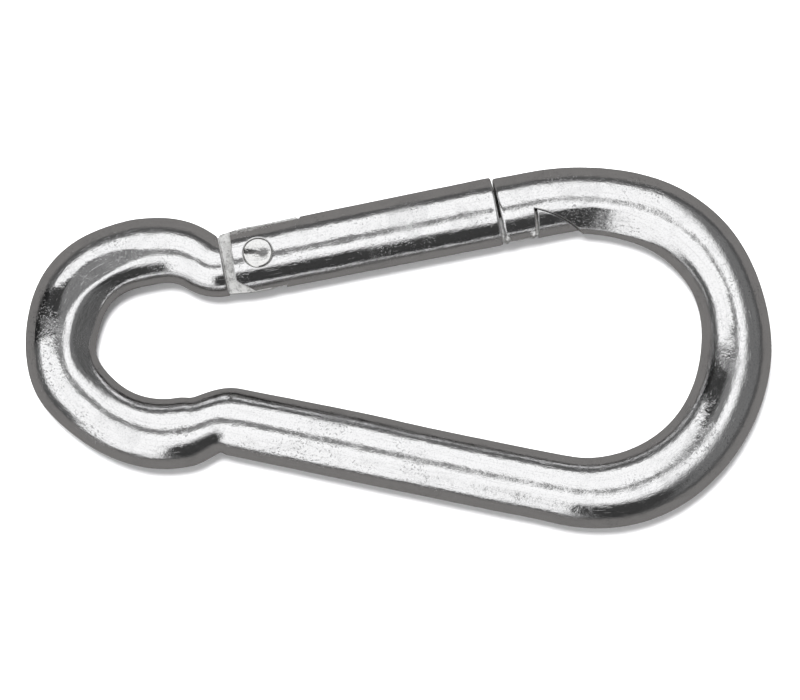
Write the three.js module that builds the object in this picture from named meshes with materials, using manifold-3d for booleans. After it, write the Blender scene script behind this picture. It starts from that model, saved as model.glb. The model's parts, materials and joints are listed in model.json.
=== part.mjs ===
// Spring hook (pear-shaped snap hook) bent from round bar, lying flat on the XY plane.
// Millimetres, +Z up. The origin is under the middle of the hook, on the plane it rests on.
// +X runs from the small eye to the wide bow, and the gate closes the +Y side.
import * as THREE from 'three';
import { mergeVertices } from 'three/addons/utils/BufferGeometryUtils.js';
import Module from 'manifold-3d';

const wasm = await Module();
wasm.setup();

// ---- driving dimensions ------------------------------------------------------------------
const BAR = 11.0; // bar thickness across its flats, Z
const BAR_SIDES = 24;
const BAR_WIDTH = 10.9; // nominal bar width in the plane of the hook
const STEP = 3.2; // longest stretch of bar between two sections

const PIVOT = new THREE.Vector2(-22.36, 15.135); // rivet's axis
const GATE_ANGLE = 11.3; // the gate rises towards the bow by this many degrees
const GATE_OFFSET = 0.8; // the gate's own axis passes this far inside the rivet's
const BAR_OFFSET = 1.0; // so do the two ends of the bent bar
const BAR_START = -5.0; // where the bent bar begins along the gate's axis, before the shoulder is cut
const SHOULDER = -5.8; // end face of the bar beside the fork
const NOSE_FACE = 39.05; // end face of the bar's nose, where it crosses the line out from the rivet
const NOSE_TILT = 1.4; // the nose's face leans this many degrees over the gate's end

const TANG_T = 3.0;
const FORK_SLOT_T = 3.6;
const FORK_SLOT_END = 7.5;
const FORK_SWEEP = 5.6; // the fork's heel is rounded about the rivet, to clear the shoulder
const CAM_START = 4.0; // tang's radius where the plunger bears at rest
const CAM_RISE = 2.0; // extra radius per radian of opening
const CAM_FROM = -20; // ends of the spiral cam, in degrees from the gate's axis
const CAM_TO = 64;

const GATE_START = -6.0; // the gate's blank, before its ends are shaped
const GATE_TIP = 54.0;
const GATE_W_HINGE = 10.6; // the blank's width at its start and at its tip
const GATE_W_FREE = 11.2;
const GATE_T = 10.8;
const GATE_END = 38.6; // the gate's full round ends here, and its neck and head go on
const GATE_BORE_D = 6.0;
const GATE_BORE_END = 27.3;

const CLAW_SWEEP = 44.5; // claws end on this radius about the rivet, so the T-head swings past
const HEAD_SWEEP = 44.95;
const NECK_T = 3.0;
const CLAW_SLOT_T = 3.6;
const NECK_TOP = -2.0;
const CLAW_SLOT_TOP = -1.6;
const RAMP_CENTRE = new THREE.Vector2(38.3, -17.3); // the T-head's slanted top is an arc about this
const RAMP_RADIUS = 16.7;
const RAMP_FROM = 66; // degrees
const RAMP_TO = 28;
const RAMP_GAP = 0.3;

const RIVET_D = 4.6;
const RIVET_HOLE_D = 4.8;
const RIVET_EDGE = 4.45; // height of the rivet's cylindrical part above and below the middle plane
const RIVET_DOME = 0.95;

const PLUNGER_TIP = 4.45;
const PLUNGER_D = 5.6;
const PLUNGER_SHOULDER = 8.3;
const PLUNGER_STEM_D = 3.0;
const PLUNGER_END = 14.2;

const SPRING_WIRE = 0.85;
const SPRING_OD = 5.4;
const SPRING_TURNS = 10;
const SPRING_START = 8.6;
const SPRING_END = 27.0;

// ---- small helpers -------------------------------------------------------------------------
const rad = THREE.MathUtils.degToRad;

function solid(geometry) {
  const bare = geometry.clone();
  bare.deleteAttribute('normal');
  bare.deleteAttribute('uv');
  const merged = mergeVertices(bare, 1e-4);
  return new wasm.Manifold(new wasm.Mesh({
    numProp: 3,
    vertProperties: new Float32Array(merged.attributes.position.array),
    triVerts: new Uint32Array(merged.index.array),
  }));
}

function geometryOf(body) {
  const mesh = body.getMesh();
  const geometry = new THREE.BufferGeometry();
  geometry.setAttribute('position', new THREE.BufferAttribute(mesh.vertProperties, 3));
  geometry.setIndex(new THREE.BufferAttribute(mesh.triVerts, 1));
  geometry.computeVertexNormals();
  return geometry;
}

// A flat outline in the XY plane made thick, centred on the plane Z = 0.
function plate(points, thickness) {
  const geometry = new THREE.ExtrudeGeometry(new THREE.Shape(points), {
    depth: thickness,
    bevelEnabled: false,
  });
  return geometry.translate(0, 0, -thickness / 2);
}

function rectangle(x0, x1, y0, y1) {
  return [[x0, y0], [x1, y0], [x1, y1], [x0, y1]].map(([x, y]) => new THREE.Vector2(x, y));
}

// Points on an arc about the origin, from one polar angle to another, in degrees.
function arcPoints(radiusAt, from, to, count) {
  const points = [];
  for (let i = 0; i <= count; i += 1) {
    const angle = rad(from + ((to - from) * i) / count);
    const radius = radiusAt(angle);
    points.push(new THREE.Vector2(radius * Math.cos(angle), radius * Math.sin(angle)));
  }
  return points;
}

// A round bar whose flats face along and across the plane of the hook, lying along +X.
function roundBar(x0, x1, width0, width1, thickness) {
  const acrossFlats = 2 * Math.cos(Math.PI / BAR_SIDES);
  const bar = new THREE.CylinderGeometry(
    width1 / acrossFlats, width0 / acrossFlats, x1 - x0, BAR_SIDES);
  bar.rotateY(Math.PI / BAR_SIDES);
  bar.rotateZ(-Math.PI / 2);
  const position = bar.attributes.position;
  for (let i = 0; i < position.count; i += 1) {
    const width = position.getX(i) < 0 ? width0 : width1;
    position.setZ(i, (position.getZ(i) * thickness) / width);
  }
  return bar.translate((x0 + x1) / 2, -GATE_OFFSET, 0);
}

// A pin through the plane of the hook, about the rivet's axis.
function crossPin(diameter, height) {
  return new THREE.CylinderGeometry(diameter / 2, diameter / 2, height, BAR_SIDES).rotateX(Math.PI / 2);
}

// A turned piece on the gate's axis; its profile is a list of [distance along the gate, radius].
function turned(profile, sides) {
  const points = profile.map(([along, radius]) => new THREE.Vector2(radius, along));
  return new THREE.LatheGeometry(points, sides).rotateZ(-Math.PI / 2).translate(0, -GATE_OFFSET, 0);
}

// ---- the bar's course: straights and bends, in the order the bar is bent --------------------
const straight = (length) => ({ length, turn: 0 });
const bend = (radius, degrees) => ({ length: radius * rad(Math.abs(degrees)), turn: rad(degrees) });

const toHook = new THREE.Matrix4()
  .makeRotationZ(rad(GATE_ANGLE))
  .setPosition(PIVOT.x, PIVOT.y, 0);

function startOfBar() {
  const point = new THREE.Vector3(BAR_START, -BAR_OFFSET, 0).applyMatrix4(toHook);
  return { x: point.x, y: point.y, heading: rad(180 + GATE_ANGLE), s: 0 };
}

// Where the bar is after going `along` one straight or bend from `at`.
function follow(at, move, along) {
  const turnedBy = (move.turn * along) / move.length;
  const chord = turnedBy === 0 ? along : (2 * along * Math.sin(turnedBy / 2)) / turnedBy;
  const heading = at.heading + turnedBy / 2;
  return {
    x: at.x + chord * Math.cos(heading),
    y: at.y + chord * Math.sin(heading),
    heading: at.heading + turnedBy,
    s: at.s + along,
  };
}

const eyeAndBow = [
  straight(0.9), bend(5.2, -40.3), // neck beside the hinge
  bend(15.3, 106.8), bend(12.7, 50), bend(17.5, 75.4), // small eye
  bend(7.4, -34.9), straight(54.2), // neck and spine
  bend(22.4, 65.9), bend(25.2, 59.8), bend(20.4, 50.9), // wide bow
];

// The last bend and straight bring the nose back on to the gate's axis.
function closingMoves(at) {
  const gateHeading = rad(180 + 360 + GATE_ANGLE);
  const turn = gateHeading - at.heading;
  const local = new THREE.Vector3(at.x, at.y, 0).applyMatrix4(toHook.clone().invert());
  const radius = (-BAR_OFFSET - local.y) / (1 - Math.cos(turn));
  const afterBend = local.x - radius * Math.sin(turn);
  return [bend(radius, THREE.MathUtils.radToDeg(turn)), straight(afterBend - NOSE_FACE + 1)];
}

function courseOfBar() {
  const stations = [startOfBar()];
  const lay = (move) => {
    const from = stations.at(-1);
    const count = Math.ceil(move.length / STEP);
    for (let i = 1; i <= count; i += 1) {
      stations.push(follow(from, move, (move.length * i) / count));
    }
  };
  eyeAndBow.forEach(lay);
  closingMoves(stations.at(-1)).forEach(lay);
  return stations;
}

// Bending squeezes and spreads the bar, and its bends wander from true arcs. Each entry is
// [place along the bar, reach, most it adds to the width, as a share, or to the left, in mm].
const SWELLS = [
  [1, 15, -0.135], [29, 12.5, 0.075], [42, 7, 0.045], [61, 10, 0.035], [67.5, 4, -0.105], [90, 18, 0.02],
  [139, 18, 0.08], [161, 21, 0.045], [175, 10.5, -0.035], [192, 9.5, 0.01], [209, 13.5, -0.03],
];
const DRIFTS = [
  [8, 6, -0.35], [25, 9.5, -0.45], [41, 7.5, -0.25], [48, 15, 0.2], [85, 30, 0.15], [143, 47, 0.2],
  [172, 23, -0.15], [205, 16.5, -0.1],
];

function sumOfBumps(bumps, s) {
  let sum = 0;
  for (const [at, reach, most] of bumps) {
    const t = Math.min(1, Math.abs(s - at) / reach);
    sum += (most * (1 + Math.cos(Math.PI * t))) / 2;
  }
  return sum;
}

// A straight bar with one section per station, then bent so that each section sits at its station.
function bentBar(stations) {
  const section = [];
  for (let i = 0; i < BAR_SIDES; i += 1) {
    const angle = (2 * Math.PI * (i + 0.5)) / BAR_SIDES;
    const scale = 1 / Math.cos(Math.PI / BAR_SIDES) / 2;
    section.push(new THREE.Vector2(
      BAR_WIDTH * scale * Math.cos(angle), BAR * scale * Math.sin(angle)));
  }
  const steps = stations.length - 1;
  const bar = new THREE.ExtrudeGeometry(new THREE.Shape(section), {
    depth: steps, steps, bevelEnabled: false,
  });
  const position = bar.attributes.position;
  for (let i = 0; i < position.count; i += 1) {
    const { x, y, heading, s } = stations[Math.round(position.getZ(i))];
    const across = position.getX(i) * (1 + sumOfBumps(SWELLS, s)) + sumOfBumps(DRIFTS, s);
    position.setXYZ(
      i, x - across * Math.sin(heading), y + across * Math.cos(heading), position.getY(i));
  }
  return bar;
}

// ---- outlines in the gate's own frame: rivet at the origin, +X along the gate, +Y outwards ---
const innerEdge = -BAR_OFFSET - BAR;

function tangOutline() {
  const cam = arcPoints((angle) => CAM_START - CAM_RISE * angle, -CAM_TO, -CAM_FROM, 12);
  const corners = [
    [3.9, 1.5], [5.8, 2.6], [7.1, 3.4], [7.1, 4.1], [6.8, 4.4], // lobe that fills the slot's outer end
    [2.2, 4.3], [-2.1, 4.4], [SHOULDER, 4.0],
  ];
  return [
    new THREE.Vector2(SHOULDER - 1.2, 2.8),
    new THREE.Vector2(SHOULDER - 1.2, -4.8),
    new THREE.Vector2(SHOULDER, -5.6),
    new THREE.Vector2(0.8, -6.0),
    ...cam,
    ...corners.map(([x, y]) => new THREE.Vector2(x, y)),
  ];
}

// Milled from the outer side, so that its end runs back towards the inner side.
function forkSlotOutline(mouth) {
  return [
    [mouth, -BAR], [3.4, -BAR], [3.4, -6.0], [5.0, -4.6], [6.6, -2.4], [FORK_SLOT_END, 0.5],
    [FORK_SLOT_END, BAR], [mouth, BAR],
  ].map(([x, y]) => new THREE.Vector2(x, y));
}

function forkOutline() {
  return [
    new THREE.Vector2(-3.75, 6),
    ...arcPoints(() => FORK_SWEEP, 220, 242, 3),
    new THREE.Vector2(-0.5, -6.8),
    new THREE.Vector2(-0.5, innerEdge),
    new THREE.Vector2(GATE_END, innerEdge),
    new THREE.Vector2(GATE_END, 4.2),
    new THREE.Vector2(GATE_END - 0.4, 6),
  ];
}

// Everything on the gate's side of the nose's face.
function noseSide() {
  const lean = Math.tan(rad(NOSE_TILT));
  return [
    new THREE.Vector2(NOSE_FACE - 3, innerEdge),
    new THREE.Vector2(NOSE_FACE - innerEdge * lean, innerEdge),
    new THREE.Vector2(NOSE_FACE - 8 * lean, 8),
    new THREE.Vector2(NOSE_FACE - 3, 8),
  ];
}

// The space behind a swept end face and under the slanted top of the T-head.
function headOutline(sweep, top, gap) {
  const from = THREE.MathUtils.radToDeg(Math.asin(innerEdge / sweep));
  const to = THREE.MathUtils.radToDeg(Math.asin(top / sweep));
  const ramp = arcPoints(() => RAMP_RADIUS + gap, RAMP_FROM, RAMP_TO, 6).map((p) => p.add(RAMP_CENTRE));
  return [...arcPoints(() => sweep, from, to, 6), ...ramp,
    new THREE.Vector2(ramp.at(-1).x, innerEdge)];
}

// ---- the pieces --------------------------------------------------------------------------
// Bar bent into an eye and a bow, with a flat tang at one end and a clawed nose at the other.
function hookBody() {
  const local = (geometry) => solid(geometry.applyMatrix4(toHook));
  const tangEnd = plate(rectangle(SHOULDER, BAR, -BAR, BAR), 2 * BAR);
  const noseSlot = plate(rectangle(NOSE_FACE - 2, CLAW_SWEEP + 0.2, innerEdge, CLAW_SLOT_TOP), CLAW_SLOT_T);
  return solid(bentBar(courseOfBar()))
    .subtract(local(tangEnd))
    .add(local(plate(tangOutline(), TANG_T)))
    .subtract(local(crossPin(RIVET_HOLE_D, 2 * BAR)))
    .subtract(local(plate(noseSide(), 2 * BAR)))
    .subtract(local(noseSlot))
    .subtract(local(plate(headOutline(CLAW_SWEEP, CLAW_SLOT_TOP, RAMP_GAP), 2 * BAR)));
}

// Straight bar with a forked hinge end, a blind bore for the spring and a T-shaped free end.
function gate() {
  const blank = solid(roundBar(GATE_START, GATE_TIP, GATE_W_HINGE, GATE_W_FREE, GATE_T));
  const neckSide = rectangle(GATE_END - 1, HEAD_SWEEP, innerEdge, NECK_TOP);
  const drillTip = 0.6 * (GATE_BORE_D / 2);
  const mouth = GATE_START - 2;
  const bore = turned([
    [mouth, 0], [mouth, GATE_BORE_D / 2], [GATE_BORE_END, GATE_BORE_D / 2], [GATE_BORE_END + drillTip, 0],
  ], BAR_SIDES);
  const shank = solid(plate(forkOutline(), 2 * BAR));
  const neck = solid(plate(neckSide, NECK_T));
  const head = solid(plate(headOutline(HEAD_SWEEP, NECK_TOP, 0), 2 * BAR));
  return blank
    .intersect(shank.add(neck).add(head))
    .subtract(solid(plate(forkSlotOutline(mouth), FORK_SLOT_T)))
    .subtract(solid(bore))
    .subtract(solid(crossPin(RIVET_HOLE_D, 2 * BAR)));
}

// Solid rivet with a low dome peened on each end.
function hingeRivet() {
  const rings = 3;
  const profile = [];
  for (let i = 0; i <= rings; i += 1) {
    const t = (Math.PI / 2) * (1 - i / rings);
    profile.push(new THREE.Vector2((RIVET_D / 2) * Math.cos(t), -RIVET_EDGE - RIVET_DOME * Math.sin(t)));
  }
  const mirrored = profile.map((p) => new THREE.Vector2(p.x, -p.y)).reverse();
  profile[0].x = 0;
  mirrored.at(-1).x = 0;
  return new THREE.LatheGeometry([...profile, ...mirrored], BAR_SIDES).rotateX(Math.PI / 2);
}

// Ball-nosed plunger that the spring presses against the tang's cam.
function springPlunger() {
  const r = PLUNGER_D / 2;
  const nose = [0, 25, 50, 70, 90].map((degrees) => [
    PLUNGER_TIP + r * (1 - Math.cos(rad(degrees))), r * Math.sin(rad(degrees))]);
  return turned([
    ...nose,
    [PLUNGER_SHOULDER, r],
    [PLUNGER_SHOULDER, PLUNGER_STEM_D / 2],
    [PLUNGER_END - 0.5, PLUNGER_STEM_D / 2],
    [PLUNGER_END, PLUNGER_STEM_D / 2 - 0.5],
    [PLUNGER_END, 0],
  ], 16);
}

class Helix extends THREE.Curve {
  getPoint(t, target = new THREE.Vector3()) {
    const r = (SPRING_OD - SPRING_WIRE) / 2;
    const angle = 2 * Math.PI * SPRING_TURNS * t;
    const from = SPRING_START + SPRING_WIRE / 2;
    const to = SPRING_END - SPRING_WIRE / 2;
    return target.set(from + (to - from) * t, r * Math.cos(angle) - GATE_OFFSET, r * Math.sin(angle));
  }
}

// Compression spring between the plunger's shoulder and the bottom of the gate's bore.
function returnSpring() {
  const wireSides = 6;
  const wire = new THREE.Shape(arcPoints(() => SPRING_WIRE / 2, 0, 360 - 360 / wireSides, wireSides - 1));
  return new THREE.ExtrudeGeometry(wire, { steps: 12 * SPRING_TURNS, extrudePath: new Helix() });
}

// ---- the assembly ------------------------------------------------------------------------
const brightZinc = { color: 0xc9cacc, roughness: 0.24, metalness: 1 };
const rivetSteel = { color: 0xbcbcbd, roughness: 0.3, metalness: 1 };
const springSteel = { color: 0x8f9094, roughness: 0.38, metalness: 1 };

function piece(name, geometry, finish) {
  const mesh = new THREE.Mesh(geometry, new THREE.MeshStandardMaterial(finish));
  mesh.name = name;
  return mesh;
}

const gateGroup = new THREE.Group();
gateGroup.position.set(PIVOT.x, PIVOT.y, 0);
gateGroup.rotation.z = rad(GATE_ANGLE);
gateGroup.add(
  piece('gate', geometryOf(gate()), brightZinc),
  piece('hinge_rivet', hingeRivet(), rivetSteel),
  piece('spring_plunger', springPlunger(), springSteel),
  piece('return_spring', returnSpring(), springSteel),
);

const springHook = new THREE.Group();
springHook.position.z = BAR / 2;
springHook.add(piece('hook_body', geometryOf(hookBody()), brightZinc), gateGroup);

export default springHook;
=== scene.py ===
"""Looks of the spring hook: fine meshes for its five pieces, zinc finishes, floor, light and camera.

The meshes are worked out in millimetres, with z = 0 in the middle of the bar, and are written in
metres in the frame's coordinates.
"""
import json
import math

import bpy
import numpy as np
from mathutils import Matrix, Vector, noise


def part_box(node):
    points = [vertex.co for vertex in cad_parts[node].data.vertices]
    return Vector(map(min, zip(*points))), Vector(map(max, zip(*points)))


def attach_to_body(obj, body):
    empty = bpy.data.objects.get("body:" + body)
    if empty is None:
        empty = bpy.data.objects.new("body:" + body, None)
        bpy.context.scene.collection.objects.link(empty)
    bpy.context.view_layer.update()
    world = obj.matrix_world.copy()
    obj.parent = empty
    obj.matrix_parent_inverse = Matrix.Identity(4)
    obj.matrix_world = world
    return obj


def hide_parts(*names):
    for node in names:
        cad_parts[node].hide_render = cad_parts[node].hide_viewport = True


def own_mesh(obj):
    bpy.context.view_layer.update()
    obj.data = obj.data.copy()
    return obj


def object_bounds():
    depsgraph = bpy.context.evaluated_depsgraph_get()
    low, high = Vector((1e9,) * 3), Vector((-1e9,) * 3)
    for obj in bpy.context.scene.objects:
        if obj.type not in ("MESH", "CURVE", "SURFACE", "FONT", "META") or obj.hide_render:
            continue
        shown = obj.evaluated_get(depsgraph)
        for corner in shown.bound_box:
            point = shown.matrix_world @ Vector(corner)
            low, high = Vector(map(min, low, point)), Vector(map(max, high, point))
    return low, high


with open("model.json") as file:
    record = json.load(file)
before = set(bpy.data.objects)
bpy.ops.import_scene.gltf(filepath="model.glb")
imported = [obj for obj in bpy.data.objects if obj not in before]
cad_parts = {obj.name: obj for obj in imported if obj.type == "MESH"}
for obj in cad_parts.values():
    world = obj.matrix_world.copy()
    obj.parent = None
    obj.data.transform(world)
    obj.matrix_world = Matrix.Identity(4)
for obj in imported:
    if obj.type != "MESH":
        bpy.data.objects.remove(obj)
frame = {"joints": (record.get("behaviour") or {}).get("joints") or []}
cad_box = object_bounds()

# ---- dimensions, in millimetres and degrees -----------------------------------------------------
# As in the CAD, except that the seams are tighter, the end edges and the rivet are rounder, and the
# beads of zinc are only here.
MM = 0.001
joints = {joint["name"]: joint for joint in frame["joints"]}
PIVOT = np.array(joints["gate_hinge"]["pos_m"]) / MM
ALONG = np.array(joints["plunger_slide"]["axis"][:2])
ALONG /= np.linalg.norm(ALONG)
OUTWARD = np.array([-ALONG[1], ALONG[0]])
GATE_HEADING = math.atan2(ALONG[1], ALONG[0])
MID_HEIGHT = PIVOT[2]

BAR_HALF_T = (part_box("hook_body")[1].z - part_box("hook_body")[0].z) / MM / 2
BAR_HALF_W = 5.45
BAR_SIDES = 96
BAR_STEP = 0.6
BAR_OFFSET = 1.0
BAR_START = -5.0
SHOULDER = -5.8
NOSE_FACE = 39.05
NOSE_TILT = 1.4
NOSE_LEAN_LENGTH = 3
EDGE_ROUND = 0.4
SHOULDER_ROUND = 0.25

TANG_T = 3.0
FORK_SLOT_T = 3.6
FORK_SLOT_END = 7.5
FORK_SWEEP = 5.6
CAM_START = 4.0
CAM_RISE = 2.0
CAM_FROM = -20
CAM_TO = 64

GATE_OFFSET = 0.8
GATE_START = -6.0
GATE_HEEL = -4.6
GATE_TIP = 54.0
GATE_HALF_W_HINGE = 5.3
GATE_HALF_W_FREE = 5.6
GATE_HALF_T = 5.4
GATE_END = 38.72
GATE_BORE_R = 3.0
GATE_BORE_END = 27.3
DRILL_POINT = 0.6
BEYOND_HEEL = -8
CLAW_SWEEP = 44.5
HEAD_SWEEP = 44.95
NECK_T = 3.0
CLAW_SLOT_T = 3.6
NECK_TOP = -2.0
NECK_BOTTOM = -5.9
CLAW_SLOT_TOP = -1.6
RAMP_CENTRE = np.array([38.3, -17.3])
RAMP_RADIUS = 16.7
RAMP_FROM = 66
RAMP_TO = 28
RAMP_GAP = 0.14

RIVET_R = 2.37
RIVET_HOLE_R = 2.4
RIVET_TOP = 5.48
RIVET_LEAN = 0.8
RIVET_CROWN = 0.2
RIVET_FALL = 0.5
RIVET_RIM = 0.9
RIVET_LEVEL = 0.985
RIVET_FOLLOWS = 0.4

BEAD_R = 0.6
BEAD_PLACES = [(39.55, -5.6), (43.8, -5.6)]
BEAD_UP = 2.9

PLUNGER_TIP = 4.45
PLUNGER_R = 2.8
PLUNGER_SHOULDER = 8.3
PLUNGER_STEM_R = 1.5
PLUNGER_END = 14.2
PLUNGER_CHAMFER = 0.15
PLUNGER_STEM_CHAMFER = 0.5

SPRING_WIRE_R = 0.425
SPRING_R = 2.275
SPRING_TURNS = 10
SPRING_START = 8.6
SPRING_END = 27.0
SPRING_BUNCHING = 0.035

LUMPS = 0.035
INNER_EDGE = -12.0
FAR = 30.0
TINY = 0.001
SHARP_ANGLE = 35


# ---- mesh helpers -------------------------------------------------------------------------------
def from_gate(points):
    """Points in the gate's frame (x along the gate, y outwards, from the rivet) in the hook's."""
    points = np.asarray(points, float)
    flat = PIVOT[:2] + points[:, :1] * ALONG + points[:, 1:2] * OUTWARD
    return np.column_stack([flat, points[:, 2]])


def make_object(name, points, faces, material):
    mesh = bpy.data.meshes.new(name)
    placed = np.asarray(points, float).copy()
    placed[:, 2] += MID_HEIGHT
    mesh.from_pydata((placed * MM).tolist(), [], faces)
    mesh.materials.append(material)
    mesh.update()
    piece = bpy.data.objects.new(name, mesh)
    bpy.context.scene.collection.objects.link(piece)
    return piece


def loft_faces(rings, sides):
    """Quads between rings of points, and a polygon on each end."""
    faces = []
    for r in range(rings - 1):
        for k in range(sides):
            n = (k + 1) % sides
            faces.append((r * sides + k, r * sides + n, (r + 1) * sides + n, (r + 1) * sides + k))
    faces.append(tuple(reversed(range(sides))))
    faces.append(tuple(range((rings - 1) * sides, rings * sides)))
    return faces


def add_bar_uv(piece, lengths, sides):
    """UV in millimetres: u along the bar and v round it, so that streaks can follow the bar."""
    layer = piece.data.uv_layers.new(name="bar")
    for polygon in piece.data.polygons:
        vertices = [piece.data.loops[i].vertex_index for i in polygon.loop_indices]
        sectors = [v % sides for v in vertices]
        wraps = max(sectors) - min(sectors) > sides // 2
        for loop, vertex, sector in zip(polygon.loop_indices, vertices, sectors):
            turn = sector + sides if wraps and sector < sides // 2 else sector
            layer.data[loop].uv = (lengths[vertex // sides], turn / sides * 2 * math.pi * BAR_HALF_W)


def add_flat_uv(piece):
    """UV in millimetres, straight down, for a piece too small for streaks to follow."""
    layer = piece.data.uv_layers.new(name="bar")
    for loop in piece.data.loops:
        layer.data[loop.index].uv = piece.data.vertices[loop.vertex_index].co.xy / MM


def prism(name, outline, half_t, material):
    """An outline in the gate's plane, made thick."""
    outline = np.asarray(outline, float)
    count = len(outline)
    rings = [np.column_stack([outline, np.full(count, z)]) for z in (-half_t, half_t)]
    after = np.roll(outline, -1, axis=0)
    area = np.sum(outline[:, 0] * after[:, 1] - outline[:, 1] * after[:, 0])
    faces = loft_faces(2, count)
    if area < 0:
        faces = [tuple(reversed(face)) for face in faces]
    return make_object(name, from_gate(np.vstack(rings)), faces, material)


def turned(name, profile, sides, material, upright=False):
    """A turned piece from [place along its axis, radius], on the gate's axis or on the rivet's."""
    angles = np.arange(sides) * 2 * math.pi / sides
    rings = []
    for along, radius in profile:
        c = max(radius, TINY) * np.cos(angles)
        s = max(radius, TINY) * np.sin(angles)
        axial = np.full(sides, along)
        rings.append(np.column_stack([c, s, axial] if upright else [axial, c - GATE_OFFSET, s]))
    return make_object(name, from_gate(np.vstack(rings)), loft_faces(len(rings), sides), material)


def arc(radius_at, start, end, count):
    """Points round the rivet, between two angles in degrees, at a radius given for each angle."""
    angles = np.radians(np.linspace(start, end, count + 1))
    radii = np.array([radius_at(a) for a in angles])
    return np.column_stack([radii * np.cos(angles), radii * np.sin(angles)]).tolist()


def rectangle(x0, x1, y0, y1):
    return [[x0, y0], [x1, y0], [x1, y1], [x0, y1]]


def combine(piece, others, operation):
    """Cuts, joins or intersects a piece with other solids, which are used up."""
    for other in others:
        change = piece.modifiers.new("boolean", "BOOLEAN")
        change.object = other
        change.operation = operation
        change.solver = "EXACT"
        change.material_mode = "TRANSFER"
        graph = bpy.context.evaluated_depsgraph_get()
        result = bpy.data.meshes.new_from_object(piece.evaluated_get(graph))
        piece.modifiers.clear()
        piece.data = result
        bpy.data.objects.remove(other)
    return piece


def shade(piece):
    """Smooth shading, with hard edges where faces meet at a clear angle."""
    piece.data.polygons.foreach_set("use_smooth", [True] * len(piece.data.polygons))
    piece.data.set_sharp_from_angle(angle=math.radians(SHARP_ANGLE))
    piece.data.update()
    return piece


# ---- the bar's course: straights and bends ------------------------------------------------------
def straight(length):
    """A move along the bar, as (length, turn)."""
    return length, 0.0


def bend(radius, degrees):
    """A move round a bend, to the left if the degrees are positive."""
    return radius * abs(math.radians(degrees)), math.radians(degrees)


def follow(at, move, along):
    """Where the bar is after going `along` one straight or bend from `at` = (x, y, heading, s)."""
    x, y, heading, s = at
    length, turn = move
    turned_by = turn * along / length
    chord = along if turned_by == 0 else 2 * along * math.sin(turned_by / 2) / turned_by
    middle = heading + turned_by / 2
    return x + chord * math.cos(middle), y + chord * math.sin(middle), heading + turned_by, s + along


EYE_AND_BOW = [
    straight(0.9), bend(5.2, -40.3),
    bend(15.3, 106.8), bend(12.7, 50), bend(17.5, 75.4),
    bend(7.4, -34.9), straight(54.2),
    bend(22.4, 65.9), bend(25.2, 59.8), bend(20.4, 50.9),
]


def nose_at(y):
    """Where the nose's leaning face is, at a height above the line out from the rivet."""
    return NOSE_FACE - y * math.tan(math.radians(NOSE_TILT))


def course_of_bar():
    """Every bend from the hinge round to the nose, as a list of (start, move)."""
    x, y = from_gate([[BAR_START, -BAR_OFFSET, 0]])[0][:2]
    at = (x, y, math.pi + GATE_HEADING, 0.0)
    course = []
    for move in EYE_AND_BOW:
        course.append((at, move))
        at = follow(at, move, move[0])
    turn = 3 * math.pi + GATE_HEADING - at[2]
    offset = np.array(at[:2]) - PIVOT[:2]
    local_x, local_y = offset @ ALONG, offset @ OUTWARD
    radius = (-BAR_OFFSET - local_y) / (1 - math.cos(turn))
    last = straight(local_x - radius * math.sin(turn) - nose_at(-BAR_OFFSET))
    for move in (bend(radius, math.degrees(turn)), last):
        course.append((at, move))
        at = follow(at, move, move[0])
    return course


COURSE = course_of_bar()
BAR_END = COURSE[-1][0][3] + COURSE[-1][1][0]


def station(s):
    """Where the bar is, as (x, y, heading, s), at a length along it from the hinge."""
    for at, move in COURSE:
        if s <= at[3] + move[0] + 1e-9:
            break
    return follow(at, move, s - at[3]) if s > at[3] else at


# Bending squeezes and spreads the bar, and its bends wander from true arcs: (place along the bar,
# reach, most it adds to the width, as a share, or to the left, in millimetres).
SWELLS = [
    (1, 15, -0.135), (29, 12.5, 0.075), (42, 7, 0.045), (61, 10, 0.035), (67.5, 4, -0.105),
    (90, 18, 0.02), (139, 18, 0.08), (161, 21, 0.045), (175, 10.5, -0.035), (192, 9.5, 0.01),
    (209, 13.5, -0.03),
]
DRIFTS = [
    (8, 6, -0.35), (25, 9.5, -0.45), (41, 7.5, -0.25), (48, 15, 0.2), (85, 30, 0.15), (143, 47, 0.2),
    (172, 23, -0.15), (205, 16.5, -0.1),
]


# Bending also pushes the crest of the small eye's bar towards the inside, as a share of its width.
CREST_SHIFTS = [(18, 22, 0.12), (46, 22, 0.12)]


# The dies also pressed long, shallow flats into both faces of the bar: (place along the bar, reach,
# degrees from straight up towards the inside, most depth as a share of the bar's radius).
PRESSED_FLATS = [(22, 11, -3, 0.05), (32, 17, 42, 0.075), (201, 16, 40, 0.09)]


def sum_of_bumps(bumps, s):
    """What smooth bumps of (place, reach, most) add up to at one place along the bar."""
    return sum(most * (1 + math.cos(math.pi * min(1, abs(s - at) / reach))) / 2
               for at, reach, most in bumps)


def pressed(section, s):
    """Moves the points (across, up) of the bar's section back to the flats pressed there."""
    for at, reach, tilt, most in PRESSED_FLATS:
        side = np.array([math.sin(math.radians(tilt)), math.cos(math.radians(tilt))])
        upper = np.column_stack([section[:, 0], abs(section[:, 1])])
        height = upper @ side
        over = np.maximum(0, height - height.max() * (1 - sum_of_bumps([(at, reach, most)], s)))
        upper -= over[:, None] * side
        section = np.column_stack([upper[:, 0], np.copysign(upper[:, 1], section[:, 1])])
    return section


def lumps(point):
    """Low roller and hammer marks, in millimetres."""
    p = Vector(point)
    return LUMPS * (noise.noise(p * 0.16) + 0.45 * noise.noise(p * 0.45 + Vector((7, 3, 1))))


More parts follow.
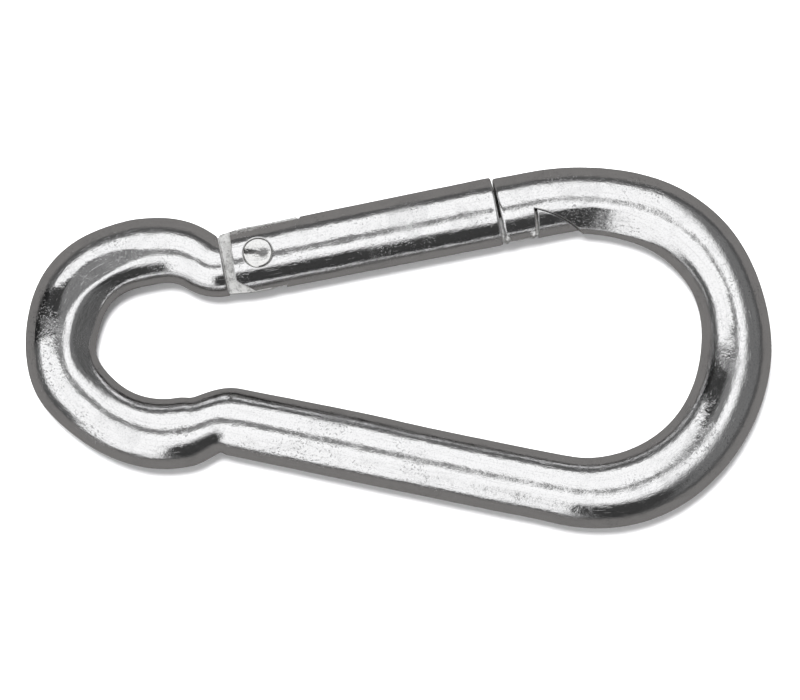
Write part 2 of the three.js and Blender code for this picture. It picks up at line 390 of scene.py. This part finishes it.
def bar_piece(name, stations, lengths, widths, half_t, inset, material, lean=0.0, bent=False):
    """A round bar through (x, y, heading, s) stations. Each ring is drawn in by its inset, which
    rounds the end edges, and the last few rings lean over to make a slanting end face. A bent bar
    has its crest shifted and flats pressed into it."""
    points = []
    for (x, y, heading, s), place, width, less in zip(stations, lengths, widths, inset):
        slant = lean * max(0.0, 1 - (lengths[-1] - place) / NOSE_LEAN_LENGTH)
        shift = sum_of_bumps(CREST_SHIFTS, s) if bent else 0.0
        section = []
        for k in range(BAR_SIDES):
            angle = 2 * math.pi * k / BAR_SIDES
            across = (width - less) * (math.cos(angle) + shift * math.sin(angle) ** 2)
            up = (half_t - less) * math.sin(angle)
            grow = 1 + lumps((x - across * math.sin(heading), y + across * math.cos(heading), up)) / width
            section.append((across * grow, max(-half_t, min(half_t, up * grow))))
        for across, up in pressed(np.array(section), s) if bent else section:
            points.append((x - across * (math.sin(heading) + slant * math.cos(heading)),
                           y + across * (math.cos(heading) - slant * math.sin(heading)), up))
    piece = make_object(name, points, loft_faces(len(stations), BAR_SIDES), material)
    add_bar_uv(piece, lengths, BAR_SIDES)
    return piece


def rounded_places(start, end, round_start, round_end):
    """Places along a bar with its rounded end edges, and how far each ring is drawn in."""
    turns = np.radians([90, 70, 50, 30, 15, 0])
    low, high = start + round_start, end - round_end
    middle = np.linspace(low, high, max(2, round((high - low) / BAR_STEP)) + 1)
    head = [(low - round_start * math.sin(b), round_start * (1 - math.cos(b))) for b in turns[:-1]]
    tail = [(high + round_end * math.sin(b), round_end * (1 - math.cos(b))) for b in turns[-2::-1]]
    places = (head if round_start else []) + [(m, 0.0) for m in middle] + (tail if round_end else [])
    return [list(column) for column in zip(*places)]


# ---- outlines in the gate's plane ---------------------------------------------------------------
def tang_outline():
    """A foot inside the bar's end, the spiral cam for the plunger, and a lobe on the outer side."""
    cam = arc(lambda angle: CAM_START - CAM_RISE * angle, -CAM_TO, -CAM_FROM, 24)
    lobe = [[3.9, 1.5], [5.8, 2.6], [7.15, 3.4], [7.2, 4.2], [7.1, 4.45], [6.8, 4.55]]
    foot = [[SHOULDER - 1.2, 2.8], [SHOULDER - 1.2, -4.8], [SHOULDER, -5.5], [-2.5, -5.9], [0.8, -6.0]]
    return foot + cam + lobe + [[2.2, 4.45], [-2.1, 4.5], [SHOULDER + 0.3, 4.1], [SHOULDER, 3.75]]


def fork_slot_outline():
    """Milled from the outer side, so that its end runs back towards the inner side."""
    return [[BEYOND_HEEL, INNER_EDGE], [3.4, INNER_EDGE], [3.4, -6.0], [5.0, -4.6], [6.6, -2.4],
            [FORK_SLOT_END, 0.5], [FORK_SLOT_END, -INNER_EDGE], [BEYOND_HEEL, -INNER_EDGE]]


def fork_outline():
    """The gate's heel, rounded on its inner side, and the whole of its bar beyond."""
    return [[-3.75, 6]] + arc(lambda angle: FORK_SWEEP, 220, 242, 6) + [
        [-0.5, -6.8], [-0.5, INNER_EDGE], [GATE_END + 1, INNER_EDGE], [GATE_END + 1, 6]]


def head_outline(sweep, top, gap):
    """The T-shaped head, or the pocket for it: from its sweep about the rivet to its round ramp."""
    start = math.degrees(math.asin(INNER_EDGE / sweep))
    end = math.degrees(math.asin(top / sweep))
    ramp = np.array(arc(lambda angle: RAMP_RADIUS + gap, RAMP_FROM, RAMP_TO, 20)) + RAMP_CENTRE
    return arc(lambda angle: sweep, start, end, 16) + ramp.tolist() + [[ramp[-1][0], INNER_EDGE]]


# ---- materials ----------------------------------------------------------------------------------
WORN_DULL = (0.46, 0.46, 0.47)
CRUST_PALE = (0.93, 0.93, 0.92)
FROST_PALE = (0.94, 0.94, 0.93)
FROST_DARK = (0.56, 0.56, 0.55)
EDGE_SOFTNESS = 0.0003


class Nodes:
    """Short calls for building one node tree."""

    def __init__(self, tree):
        self.tree = tree

    def node(self, kind, **values):
        made = self.tree.nodes.new(kind)
        for key, value in values.items():
            setattr(made, key, value)
        return made

    def feed(self, socket, value):
        """Puts a number, a colour or another node's output into a socket."""
        if isinstance(value, bpy.types.NodeSocket):
            self.tree.links.new(value, socket)
        elif isinstance(value, tuple) and socket.type == "RGBA":
            socket.default_value = (*value, 1)
        else:
            socket.default_value = value

    def math(self, operation, *values):
        made = self.node("ShaderNodeMath", operation=operation)
        for socket, value in zip(made.inputs, values):
            self.feed(socket, value)
        return made.outputs[0]

    def dot(self, vector, direction):
        made = self.node("ShaderNodeVectorMath", operation="DOT_PRODUCT")
        self.feed(made.inputs[0], vector)
        made.inputs[1].default_value = direction
        return made.outputs["Value"]

    def step(self, value, low, high):
        """Rises smoothly from 0 to 1 between two values."""
        made = self.node("ShaderNodeMapRange", interpolation_type="SMOOTHSTEP")
        self.feed(made.inputs["Value"], value)
        made.inputs["From Min"].default_value = low
        made.inputs["From Max"].default_value = high
        return made.outputs[0]

    def less(self, value, share):
        """One minus a share of a value."""
        return self.math("MULTIPLY_ADD", value, -share, 1.0)

    def scaled(self, source, factors):
        made = self.node("ShaderNodeMapping")
        made.inputs["Scale"].default_value = factors
        self.feed(made.inputs["Vector"], source)
        return made.outputs[0]

    def noise(self, coordinates, scale, detail=3.0, roughness=0.55, distortion=0.0):
        made = self.node("ShaderNodeTexNoise")
        self.feed(made.inputs["Vector"], coordinates)
        for key, value in (("Scale", scale), ("Detail", detail), ("Roughness", roughness),
                           ("Distortion", distortion)):
            made.inputs[key].default_value = value
        return made.outputs[0]

    def mix(self, factor, a, b):
        made = self.node("ShaderNodeMix", data_type="RGBA")
        for index, value in ((0, factor), (6, a), (7, b)):
            self.feed(made.inputs[index], value)
        return made.outputs[2]

    def soft_edges(self, radius):
        """The surface's direction, with edges rounded by a radius in metres."""
        made = self.node("ShaderNodeBevel", samples=6)
        made.inputs["Radius"].default_value = radius
        return made.outputs[0]

    def bump(self, height, strength, distance, below=None):
        made = self.node("ShaderNodeBump")
        made.inputs["Strength"].default_value = strength
        made.inputs["Distance"].default_value = distance
        self.feed(made.inputs["Height"], height)
        if below is not None:
            self.feed(made.inputs["Normal"], below)
        return made.outputs[0]


def new_metal(name):
    """A metallic material, its shader and calls for its tree."""
    material = bpy.data.materials.new(name)
    material.use_nodes = True
    shader = material.node_tree.nodes["Principled BSDF"]
    shader.inputs["Metallic"].default_value = 1.0
    return material, shader, Nodes(material.node_tree)


def fork_crust(n, place):
    """Where the gate keeps its rough plating: ragged patches along the fork's outer edge."""
    outward = n.math("SUBTRACT", n.dot(place, (*OUTWARD, 0)), PIVOT[:2] @ OUTWARD * MM)
    along = n.math("SUBTRACT", n.dot(place, (*ALONG, 0)), PIVOT[:2] @ ALONG * MM)
    edge = n.math("MULTIPLY", n.step(outward, 0.0028, 0.0042), n.less(n.step(along, 0.0, 0.009), 1.0))
    return n.step(n.math("MULTIPLY_ADD", edge, 0.5, n.noise(place, 1500, 4, 0.7)), 0.86, 0.98)


def burnished_zinc(name, bright=(0.88, 0.88, 0.885), roughness=(0.05, 0.20), crusted=False):
    """Bright zinc plate worn smooth: drawn streaks along the bar, scratches, pits and smears."""
    material, shader, n = new_metal(name)
    place = n.node("ShaderNodeTexCoord").outputs["Object"]
    along = n.node("ShaderNodeUVMap", uv_map="bar").outputs[0]
    smears = n.step(n.noise(place, 150, 7, 0.66, 0.9), 0.47, 0.66)
    streaks = n.step(n.noise(n.scaled(along, (0.10, 2.6, 1)), 1.0, 5, 0.62), 0.48, 0.74)
    scratches = n.step(n.noise(n.scaled(along, (0.30, 11.0, 1)), 1.0, 2, 0.5), 0.66, 0.73)
    patches = n.step(n.noise(place, 130, 4, 0.6), 0.48, 0.64)
    pits = n.math("MULTIPLY", n.step(n.noise(place, 2600, 3, 0.6), 0.56, 0.67), patches)
    grain = n.noise(place, 3400, 4, 0.7)
    worn = n.math("MAXIMUM", n.math("MULTIPLY", smears, 0.18), n.math("MULTIPLY", streaks, 0.26))
    marked = n.math("MAXIMUM", worn, n.math("MULTIPLY", pits, 0.85))
    marked = n.math("ADD", marked, n.math("MULTIPLY", n.step(grain, 0.48, 0.66), 0.26))
    colour = n.mix(marked, bright, WORN_DULL)
    dulled = n.math("MAXIMUM", n.math("MAXIMUM", smears, scratches), pits)
    rough = n.math("MULTIPLY_ADD", dulled, roughness[1] - roughness[0], roughness[0])
    if crusted:
        crust = fork_crust(n, place)
        colour = n.mix(crust, colour, CRUST_PALE)
        rough = n.math("MAXIMUM", rough, n.math("MULTIPLY", crust, 0.75))
    n.feed(shader.inputs["Base Color"], colour)
    n.feed(shader.inputs["Roughness"], rough)
    waves = n.bump(n.noise(place, 330, 4, 0.6), 0.9, 0.00006, n.soft_edges(EDGE_SOFTNESS))
    ripples = n.bump(n.noise(n.scaled(along, (0.6, 1.5, 1)), 1.0, 4, 0.62), 0.5, 0.00006, waves)
    grooves = n.bump(n.math("MULTIPLY_ADD", streaks, 0.4, scratches), 0.4, -0.00001, ripples)
    peel = n.bump(grain, 0.5, 0.000012, grooves)
    n.feed(shader.inputs["Normal"], n.bump(pits, 0.5, -0.00003, peel))
    return material


def frosted_zinc(name):
    """Zinc as plated on cut faces and in recesses, never rubbed bright: crystalline and uneven."""
    material, shader, n = new_metal(name)
    place = n.node("ShaderNodeTexCoord").outputs["Object"]
    grain = n.noise(place, 2800, 4, 0.65)
    blotches = n.step(n.noise(place, 1500, 5, 0.7), 0.46, 0.62)
    n.feed(shader.inputs["Base Color"], n.mix(blotches, FROST_PALE, FROST_DARK))
    n.feed(shader.inputs["Roughness"], n.math("MULTIPLY_ADD", grain, 0.25, 0.22))
    n.feed(shader.inputs["Normal"], n.bump(grain, 0.9, 0.00012, n.soft_edges(EDGE_SOFTNESS)))
    return material


def drawn_steel(name, colour=(0.46, 0.46, 0.47)):
    """Turned or drawn steel: fine lines and a darker, oily film."""
    material, shader, n = new_metal(name)
    place = n.node("ShaderNodeTexCoord").outputs["Object"]
    lines = n.noise(place, 3200, 4, 0.6)
    oil = n.step(n.noise(place, 260, 3, 0.5), 0.40, 0.70)
    n.feed(shader.inputs["Base Color"], n.mix(oil, colour, tuple(0.7 * c for c in colour)))
    n.feed(shader.inputs["Roughness"], n.math("MULTIPLY_ADD", lines, 0.2, 0.22))
    n.feed(shader.inputs["Normal"], n.bump(lines, 0.3, 0.00002))
    return material


body_zinc = burnished_zinc("body_zinc")
gate_zinc = burnished_zinc("gate_zinc", crusted=True)
cut_zinc = frosted_zinc("cut_zinc")
rivet_zinc = burnished_zinc("rivet_zinc", bright=(0.84, 0.84, 0.83), roughness=(0.08, 0.15))
plunger_steel = drawn_steel("plunger_steel", colour=(0.60, 0.60, 0.61))
wire_steel = drawn_steel("wire_steel")


# ---- the pieces ---------------------------------------------------------------------------------
def rivet_hole():
    """What the fork's and the tang's holes are cut with."""
    ends = [(-FAR, RIVET_HOLE_R), (FAR, RIVET_HOLE_R)]
    return turned("rivet_hole", ends, 96, cut_zinc, upright=True)


def make_bead(along, outward, up):
    """A small ball of zinc."""
    rings, sides = 12, 20
    points = []
    for tilt in np.linspace(-math.pi / 2, math.pi / 2, rings + 1):
        radius = BEAD_R * max(math.cos(tilt), TINY)
        for angle in np.arange(sides) * 2 * math.pi / sides:
            points.append((along + radius * math.cos(angle), outward + radius * math.sin(angle),
                           up + BEAD_R * math.sin(tilt)))
    return make_object("bead", from_gate(points), loft_faces(rings + 1, sides), cut_zinc)


def make_beads():
    """The drops left on both faces of the claws, at the seams' inner ends."""
    return [make_bead(along, outward, up) for along, outward in BEAD_PLACES
            for up in (-BEAD_UP, BEAD_UP)]


def make_hook_body():
    """Bent bar with rounded end faces, the flat tang, and the slotted nose with its two claws."""
    places, inset = rounded_places(BAR_START - SHOULDER, BAR_END, SHOULDER_ROUND, EDGE_ROUND)
    stations = []
    for s in places:
        x, y, heading, _ = station(s)
        drift = sum_of_bumps(DRIFTS, s)
        stations.append((x - drift * math.sin(heading), y + drift * math.cos(heading), heading, s))
    widths = [BAR_HALF_W * (1 + sum_of_bumps(SWELLS, s)) for s in places]
    lean = math.tan(math.radians(NOSE_TILT))
    body = bar_piece("hook_body_fine", stations, places, widths, BAR_HALF_T, inset, body_zinc, lean,
                     bent=True)
    tang = prism("tang", tang_outline(), TANG_T / 2, cut_zinc)
    slot = prism("claw_slot", rectangle(NOSE_FACE - 2, CLAW_SWEEP + 0.2, INNER_EDGE, CLAW_SLOT_TOP),
                 CLAW_SLOT_T / 2, cut_zinc)
    pocket = prism("pocket", head_outline(CLAW_SWEEP, CLAW_SLOT_TOP, RAMP_GAP), FAR, cut_zinc)
    combine(body, [tang] + make_beads(), "UNION")
    combine(body, [rivet_hole(), slot, pocket], "DIFFERENCE")
    return shade(body)


def gate_bar(name, start, end, round_end):
    """A straight stretch of the gate's slightly tapered bar."""
    places, inset = rounded_places(start, end, 0.0, round_end)
    taper = (GATE_HALF_W_FREE - GATE_HALF_W_HINGE) / (GATE_TIP - GATE_START)
    widths = [GATE_HALF_W_HINGE + taper * (p - GATE_START) for p in places]
    centres = from_gate([[p, -GATE_OFFSET, 0] for p in places])
    stations = [(x, y, GATE_HEADING, p) for (x, y, _), p in zip(centres, places)]
    return bar_piece(name, stations, places, widths, GATE_HALF_T, inset, gate_zinc)


def make_gate():
    """Forked and bored bar, with the neck and the T-shaped head at its free end."""
    gate = gate_bar("gate_fine", GATE_HEEL, GATE_END, EDGE_ROUND)
    combine(gate, [prism("fork", fork_outline(), FAR, cut_zinc)], "INTERSECT")
    neck = gate_bar("neck", GATE_END - 1, HEAD_SWEEP, 0)
    combine(neck, [prism("neck_side", rectangle(GATE_END - 2, HEAD_SWEEP + 2, NECK_BOTTOM, NECK_TOP),
                         NECK_T / 2, cut_zinc)], "INTERSECT")
    head = gate_bar("head", HEAD_SWEEP - 1.5, GATE_TIP, 0)
    combine(head, [prism("head_side", head_outline(HEAD_SWEEP, NECK_TOP, 0), FAR, cut_zinc)], "INTERSECT")
    combine(neck, [head], "UNION")
    combine(gate, [neck], "UNION")
    slot = prism("fork_slot", fork_slot_outline(), FORK_SLOT_T / 2, cut_zinc)
    bore = turned("bore", [(BEYOND_HEEL, GATE_BORE_R), (GATE_BORE_END, GATE_BORE_R),
                           (GATE_BORE_END + DRILL_POINT * GATE_BORE_R, 0)], 64, cut_zinc)
    combine(gate, [slot, bore, rivet_hole()], "DIFFERENCE")
    return shade(gate)


def make_rivet():
    """Solid rivet with a low dome at each end. The domes' tops are off centre along the gate, and
    their sides fall away with the gate's round, though less than the gate does."""
    sides, rings = 96, 24
    top = []
    for i in range(rings + 1):
        share = math.sin(math.pi / 2 * i / rings)
        for k in range(sides):
            angle = 2 * math.pi * k / sides
            radius = max(share, TINY) * RIVET_R
            x, y = radius * math.cos(angle), radius * math.sin(angle)
            fall = math.sqrt(1 - ((y + GATE_OFFSET) / GATE_HALF_W_HINGE) ** 2)
            off_top = math.hypot(x - RIVET_LEAN, y) / (RIVET_R + RIVET_LEAN)
            dome = RIVET_TOP - RIVET_FALL * max(0.0, off_top - RIVET_CROWN) ** 1.6
            dome -= max(0.0, share - RIVET_RIM)
            top.append((x, y, dome - RIVET_FOLLOWS * GATE_HALF_T * max(0.0, RIVET_LEVEL - fall)))
    bottom = [(x, y, -z) for x, y, z in top]
    around = [bottom[i * sides:(i + 1) * sides] for i in range(rings + 1)]
    around += [top[i * sides:(i + 1) * sides] for i in range(rings, -1, -1)]
    points = [point for ring in around for point in ring]
    rivet = make_object("hinge_rivet_fine", from_gate(points), loft_faces(len(around), sides), rivet_zinc)
    add_flat_uv(rivet)
    return shade(rivet)


def make_plunger():
    """Ball-nosed plunger with a stem for the spring."""
    nose = [(PLUNGER_TIP + PLUNGER_R * (1 - math.cos(a)), PLUNGER_R * math.sin(a))
            for a in np.linspace(0, math.pi / 2, 17)]
    profile = nose + [(PLUNGER_SHOULDER - PLUNGER_CHAMFER, PLUNGER_R),
                      (PLUNGER_SHOULDER, PLUNGER_R - PLUNGER_CHAMFER),
                      (PLUNGER_SHOULDER, PLUNGER_STEM_R),
                      (PLUNGER_END - PLUNGER_STEM_CHAMFER, PLUNGER_STEM_R),
                      (PLUNGER_END, PLUNGER_STEM_R - PLUNGER_STEM_CHAMFER), (PLUNGER_END, 0)]
    return shade(turned("spring_plunger_fine", profile, 48, plunger_steel))


def make_spring():
    """Compression spring, with its turns closer together towards both ends."""
    sides, per_turn = 14, 40
    count = SPRING_TURNS * per_turn
    first = SPRING_START + SPRING_WIRE_R
    stretch = SPRING_END - SPRING_WIRE_R - first
    points = []
    for i in range(count + 1):
        t = i / count
        centre = first + stretch * (t - SPRING_BUNCHING * math.sin(2 * math.pi * t))
        angle = 2 * math.pi * SPRING_TURNS * t
        for k in range(sides):
            a = 2 * math.pi * k / sides
            radius = SPRING_R + SPRING_WIRE_R * math.cos(a)
            points.append((centre - SPRING_WIRE_R * math.sin(a), radius * math.cos(angle) - GATE_OFFSET,
                           radius * math.sin(angle)))
    faces = loft_faces(count + 1, sides)
    return shade(make_object("return_spring_fine", from_gate(points), faces, wire_steel))


def attach(piece, body, node):
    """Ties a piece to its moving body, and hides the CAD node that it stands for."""
    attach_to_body(piece, body)
    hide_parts(node)
    return piece


attach(make_hook_body(), "hook", "hook_body")
attach(make_gate(), "gate", "gate")
attach(make_rivet(), "gate", "hinge_rivet")
attach(make_plunger(), "plunger", "spring_plunger")
spring = attach(make_spring(), "gate", "return_spring")
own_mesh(spring)


# ---- floor, light and camera --------------------------------------------------------------------
FLOOR_HALF = 0.6
FLOOR_PALE = (0.93, 0.93, 0.94)
FLOOR_MIRRORED = (0.088, 0.085, 0.083)
TENT_BRIGHT = 0.90
KEY_AT = (-0.07, 0.22, 0.9)
KEY_SIZE = 0.24
KEY_POWER = 16.0
VIEW_WIDTH = 1.073
VIEW_OFFSET = (0.25, -0.35)


def make_floor():
    """A plain pale floor, which the bright metal mirrors in a darker tone."""
    mesh = bpy.data.meshes.new("floor")
    corners = [(-1, -1), (1, -1), (1, 1), (-1, 1)]
    mesh.from_pydata([(x * FLOOR_HALF, y * FLOOR_HALF, 0) for x, y in corners], [], [(0, 1, 2, 3)])
    floor = bpy.data.objects.new("floor", mesh)
    bpy.context.scene.collection.objects.link(floor)
    material = bpy.data.materials.new("floor")
    material.use_nodes = True
    n = Nodes(material.node_tree)
    shader = n.tree.nodes["Principled BSDF"]
    mirrored = n.node("ShaderNodeLightPath").outputs["Is Glossy Ray"]
    n.feed(shader.inputs["Base Color"], n.mix(mirrored, FLOOR_PALE, FLOOR_MIRRORED))
    shader.inputs["Roughness"].default_value = 0.9
    shader.inputs["Specular IOR Level"].default_value = 0.0
    mesh.materials.append(material)


def towards(azimuth, from_zenith):
    """A direction as a unit vector, from degrees round from +X and degrees down from straight up."""
    a, t = math.radians(azimuth), math.radians(from_zenith)
    return math.cos(a) * math.sin(t), math.sin(a) * math.sin(t), math.cos(t)


def slit_in_tent(n, direction, up):
    """The slit down the tent, from a little past straight up. It gets wider lower down."""
    leaning = n.math("MULTIPLY_ADD", up, -0.16, n.dot(direction, towards(72, 90)))
    off_centre = n.math("ABSOLUTE", n.math("ADD", leaning, 0.11))
    outside = n.step(n.math("MULTIPLY_ADD", up, 0.07, off_centre), 0.20, 0.24)
    begins = n.step(n.dot(direction, towards(162, 90)), -0.08, -0.03)
    return n.math("MULTIPLY", begins, n.less(outside, 1.0))


def brightness_of_studio(n, direction):
    """A white tent round the left of the table, open to a dim room on the right. The tent comes
    lower on its near side and has a slit down its left side, and something dark stands at the
    near right."""
    up = n.dot(direction, (0, 0, 1))
    past_edge = n.math("MULTIPLY_ADD", up, -0.43, n.dot(direction, towards(-12, 90)))
    room = n.step(past_edge, -0.09, 0.26)
    skirt = n.step(n.dot(direction, towards(250, 90)), 0.87, 0.93)
    tent = n.step(n.math("MULTIPLY_ADD", skirt, 0.28, up), 0.34, 0.40)
    slit = slit_in_tent(n, direction, up)
    dark = n.step(n.dot(direction, towards(281, 60)), 0.86, 0.965)
    dark = n.math("MULTIPLY", dark, n.step(n.dot(direction, towards(352, 90)), 0.0, 0.08))
    white = n.math("MULTIPLY", tent, n.less(room, 1.0))
    white = n.math("MULTIPLY", white, n.less(slit, 0.97))
    white = n.math("MULTIPLY", white, n.less(dark, 1.0))
    dim = n.math("MULTIPLY_ADD", n.step(up, 0.14, 0.30), 0.08, 0.09)
    dim = n.math("MULTIPLY", dim, n.less(dark, 0.72))
    overhead = n.step(up, 0.89, 0.99)
    dim = n.math("MULTIPLY", dim, n.less(n.math("MULTIPLY", slit, n.less(overhead, 1.0)), 0.88))
    dim = n.math("MULTIPLY_ADD", overhead, 0.03, dim)
    return n.math("MULTIPLY_ADD", white, TENT_BRIGHT, dim)


def make_world():
    """The studio, except that where the camera itself sees past the floor, it is plain white."""
    world = bpy.data.worlds.new("studio")
    bpy.context.scene.world = world
    world.use_nodes = True
    n = Nodes(world.node_tree)
    direction = n.node("ShaderNodeTexCoord").outputs["Generated"]
    background = n.tree.nodes["Background"]
    background.inputs["Color"].default_value = (1, 1, 1, 1)
    n.feed(background.inputs["Strength"], brightness_of_studio(n, direction))
    plain = n.node("ShaderNodeBackground")
    plain.inputs["Color"].default_value = (1, 1, 1, 1)
    mix = n.node("ShaderNodeMixShader")
    n.feed(mix.inputs[0], n.node("ShaderNodeLightPath").outputs["Is Camera Ray"])
    n.feed(mix.inputs[1], background.outputs[0])
    n.feed(mix.inputs[2], plain.outputs[0])
    n.feed(n.tree.nodes["World Output"].inputs["Surface"], mix.outputs[0])


def make_key_light():
    """A soft lamp above the gate's side, which lights the floor and throws the short soft shadow."""
    lamp = bpy.data.lights.new("key", "AREA")
    lamp.shape = "DISK"
    lamp.size = KEY_SIZE
    lamp.energy = KEY_POWER
    key = bpy.data.objects.new("key", lamp)
    bpy.context.scene.collection.objects.link(key)
    key.location = KEY_AT
    key.rotation_mode = "QUATERNION"
    key.rotation_quaternion = Vector(KEY_AT).to_track_quat("Z", "Y")
    key.visible_glossy = False


def make_camera():
    """Straight down on the hook, from far enough away that the view is nearly flat."""
    low, high = cad_box
    shown_width = VIEW_WIDTH * (high.x - low.x)
    data = bpy.data.cameras.new("camera")
    data.sensor_width = 36
    data.lens = 150
    data.clip_start = 0.01
    data.clip_end = 100
    camera = bpy.data.objects.new("camera", data)
    bpy.context.scene.collection.objects.link(camera)
    camera.location = ((low.x + high.x) / 2 + VIEW_OFFSET[0] * MM,
                       (low.y + high.y) / 2 + VIEW_OFFSET[1] * MM,
                       MID_HEIGHT * MM + shown_width * data.lens / data.sensor_width)
    bpy.context.scene.camera = camera


make_floor()
make_world()
make_key_light()
make_camera()
bpy.context.scene.view_settings.view_transform = "Standard"
